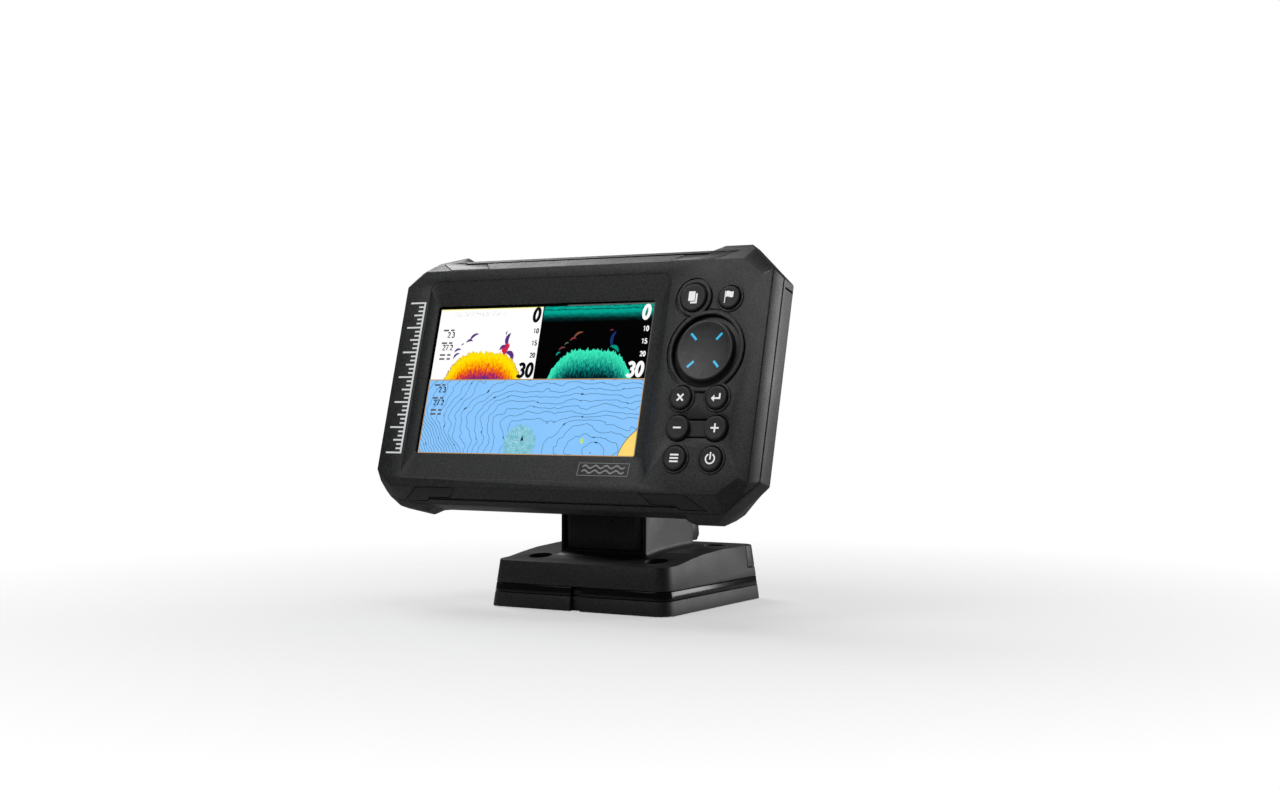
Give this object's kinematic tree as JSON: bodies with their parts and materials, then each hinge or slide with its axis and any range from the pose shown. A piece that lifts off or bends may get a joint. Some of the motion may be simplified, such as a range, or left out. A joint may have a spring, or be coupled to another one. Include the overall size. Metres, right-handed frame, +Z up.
{
  "type": "fish finder",
  "caption": "Keypad fish finder with a lit colour screen in a chamfered housing, on a tilt and swivel bench bracket with a square foot.",
  "frame": {"origin": "centre of the foot's underside, on the bench", "axes": "+Z up, -Y towards the person who reads the screen, +X to that person's right"},
  "size_m": [0.1846, 0.1086, 0.1518],
  "materials": {
    "housing": "fine grained charcoal moulding",
    "trim": "smooth satin black",
    "band": "glossy black",
    "bracket": "fine grained black moulding",
    "keys": "soft matt black with white icons",
    "screen": "clear glass bonded over a lit picture",
    "inner_black": "plain black moulding",
    "silicone": "grey silicone",
    "board": "green laminate",
    "ceramic": "fired ceramic",
    "acetal": "white acetal",
    "steel": "stainless steel",
    "metal": "stamped sheet"
  },
  "bodies": {
    "foot": {"base_plate": "bracket", "base_band": "band", "turntable_disc": "acetal", "swivel_screw": "steel", "swivel_washer": "steel"},
    "pedestal": {"pedestal": "bracket", "post_front_cover": "bracket", "swivel_lock_spring": "steel"},
    "swivel_lock_slider": {"swivel_lock_slider": "trim"},
    "base_release_tab": {"base_release_tab": "bracket"},
    "unit": {"tilt_head": "trim", "friction_washer_left": "acetal", "friction_washer_right": "acetal", "tilt_bolt": "steel", "tilt_nut": "steel", "release_lever_pin": "steel", "release_spring": "steel", "front_bezel": "housing", "rear_case": "housing", "left_top_trim": "trim", "right_top_trim": "trim", "left_bottom_trim": "trim", "right_bottom_trim": "trim", "case_gasket": "silicone", "case_screw_left_top": "steel", "case_screw_right_top": "steel", "case_screw_left_bottom": "steel", "case_screw_right_bottom": "steel", "card_reader": "metal", "power_socket": "inner_black", "sonar_socket": "inner_black", "display_window": "screen", "lcd_panel": "inner_black", "lcd_frame": "metal", "main_board": "board", "gps_antenna": "ceramic", "buzzer": "inner_black", "keymat": "silicone", "key_board": "board"},
    "release_lever": {"release_lever": "trim"},
    "pages_button": {"pages_button": "keys"},
    "waypoint_button": {"waypoint_button": "keys"},
    "exit_button": {"exit_button": "keys"},
    "enter_button": {"enter_button": "keys"},
    "menu_button": {"menu_button": "keys"},
    "power_button": {"power_button": "keys"},
    "zoom_rocker": {"zoom_rocker": "keys"},
    "pad_gimbal": {"pad_gimbal": "acetal"},
    "direction_pad": {"direction_pad": "keys"},
    "card_door": {"card_door": "keys"}
  },
  "joints": [
    {"name": "swivel", "type": "hinge", "parent": "foot", "child": "pedestal", "pos_m": [0, 0, 0.01], "axis": [0, 0, 1], "range_deg": [-60, 60]},
    {"name": "swivel_lock", "type": "slide", "parent": "pedestal", "child": "swivel_lock_slider", "axis": [0, 0, 1], "range_m": [0, 0.003], "stiffness_N_per_m": 400, "springref_m": -0.002, "deforming": ["swivel_lock_spring"]},
    {"name": "base_release", "type": "hinge", "parent": "pedestal", "child": "base_release_tab", "pos_m": [0, 0.0429, 0.0143], "axis": [-1, 0, 0], "range_deg": [0, 5], "stiffness_Nm_per_rad": 0.5, "springref_deg": -2.86},
    {"name": "tilt", "type": "hinge", "parent": "pedestal", "child": "unit", "pos_m": [0, -0.0046, 0.0798], "axis": [1, 0, 0], "range_deg": [-25, 20]},
    {"name": "release_lever_pivot", "type": "hinge", "parent": "unit", "child": "release_lever", "pos_m": [0, -0.00948, 0.10363], "axis": [1, 0, 0], "range_deg": [0, 6], "stiffness_Nm_per_rad": 0.1, "springref_deg": -5.73},
    {"name": "pages_press", "type": "slide", "parent": "unit", "child": "pages_button", "axis": [0, 0.9646, -0.2639], "range_m": [0, 0.0008], "stiffness_N_per_m": 500, "springref_m": -0.0004},
    {"name": "waypoint_press", "type": "slide", "parent": "unit", "child": "waypoint_button", "axis": [0, 0.9646, -0.2639], "range_m": [0, 0.0008], "stiffness_N_per_m": 500, "springref_m": -0.0004},
    {"name": "exit_press", "type": "slide", "parent": "unit", "child": "exit_button", "axis": [0, 0.9646, -0.2639], "range_m": [0, 0.0008], "stiffness_N_per_m": 500, "springref_m": -0.0004},
    {"name": "enter_press", "type": "slide", "parent": "unit", "child": "enter_button", "axis": [0, 0.9646, -0.2639], "range_m": [0, 0.0008], "stiffness_N_per_m": 500, "springref_m": -0.0004},
    {"name": "menu_press", "type": "slide", "parent": "unit", "child": "menu_button", "axis": [0, 0.9646, -0.2639], "range_m": [0, 0.0008], "stiffness_N_per_m": 500, "springref_m": -0.0004},
    {"name": "power_press", "type": "slide", "parent": "unit", "child": "power_button", "axis": [0, 0.9646, -0.2639], "range_m": [0, 0.0008], "stiffness_N_per_m": 500, "springref_m": -0.0004},
    {"name": "zoom_rock", "type": "hinge", "parent": "unit", "child": "zoom_rocker", "pos_m": [0.0652, -0.05344, 0.07637], "axis": [0, 0.2639, 0.9646], "range_deg": [-3.5, 3.5], "stiffness_Nm_per_rad": 0.05},
    {"name": "pad_vertical", "type": "hinge", "parent": "unit", "child": "pad_gimbal", "pos_m": [0.0646, -0.04483, 0.10708], "axis": [1, 0, 0], "range_deg": [-2, 2], "stiffness_Nm_per_rad": 0.2},
    {"name": "pad_sideways", "type": "hinge", "parent": "pad_gimbal", "child": "direction_pad", "pos_m": [0.0646, -0.04483, 0.10708], "axis": [0, 0.2639, 0.9646], "range_deg": [-2, 2], "stiffness_Nm_per_rad": 0.2},
    {"name": "card_door_hinge", "type": "hinge", "parent": "unit", "child": "card_door", "pos_m": [0.0696, -0.02827, 0.09219], "axis": [0, 0.2639, 0.9646], "range_deg": [0, 100]}
  ]
}
